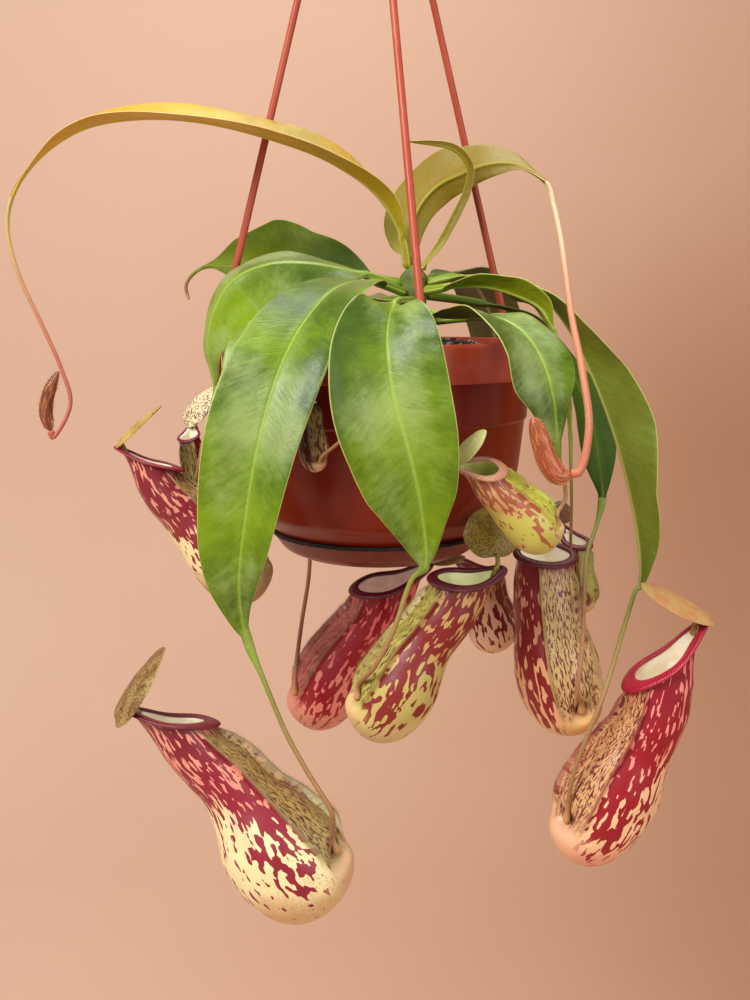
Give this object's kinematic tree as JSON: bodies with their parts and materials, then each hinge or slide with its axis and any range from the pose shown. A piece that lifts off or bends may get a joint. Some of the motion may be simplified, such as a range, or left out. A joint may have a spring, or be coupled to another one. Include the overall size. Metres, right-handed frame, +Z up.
{
  "type": "hanging potted pitcher plant",
  "caption": "Hanging bowl pot with drip saucer and three-strand hanger, holding a tropical pitcher plant with arching leaves and lidded pitchers on tendrils.",
  "frame": {"origin": "inside top of the hanger's hook, where it bears on its rail; the pot's axis is the Z axis", "axes": "+Z up along the axis of the pot, -Y the front that the picture shows, +X to the right of the front"},
  "size_m": [0.339, 0.2198, 0.5839],
  "materials": {
    "pot_plastic": "smooth glossy terracotta-coloured plastic",
    "saucer_plastic": "dull red-brown plastic",
    "potting_mix": "damp black bark mix with white grains",
    "crown_bark": "fibrous green-brown stem",
    "hanger_plastic": "satin salmon plastic",
    "leaf_green": "glossy mid green with a pale midrib",
    "leaf_young": "glossy yellow-green turning bronze",
    "pitcher_red": "satin cream to pink, blotched with crimson",
    "pitcher_green": "satin yellow-green, specked with maroon",
    "pitcher_bud": "downy orange-brown"
  },
  "bodies": {
    "root": {"pot": "pot_plastic", "saucer": "saucer_plastic", "soil": "potting_mix", "crown": "crown_bark", "hanger": "hanger_plastic", "leaf_front_left": "leaf_green", "leaf_front": "leaf_green", "leaf_left": "leaf_green", "leaf_back_left": "leaf_green", "leaf_young_left": "leaf_young", "leaf_young_right": "leaf_young", "leaf_rolled": "leaf_young", "leaf_right": "leaf_green", "leaf_right_dark": "leaf_green", "leaf_front_right": "leaf_green", "leaf_right_arch": "leaf_green", "leaf_back_right": "leaf_green", "leaf_right_low": "leaf_green", "leaf_back": "leaf_green", "leaf_left_low": "leaf_green", "leaf_front_low": "leaf_green", "pitcher_lower_left": "pitcher_red", "pitcher_lower_right": "pitcher_red", "pitcher_centre": "pitcher_green", "pitcher_centre_red": "pitcher_red", "pitcher_centre_right": "pitcher_red", "pitcher_back_right": "pitcher_green", "pitcher_back_centre": "pitcher_red", "pitcher_small_front": "pitcher_green", "pitcher_left": "pitcher_red", "pitcher_small_left": "pitcher_red", "pitcher_hidden": "pitcher_green", "pitcher_young_right": "pitcher_bud", "pitcher_bud_left": "pitcher_bud"}
  },
  "joints": []
}
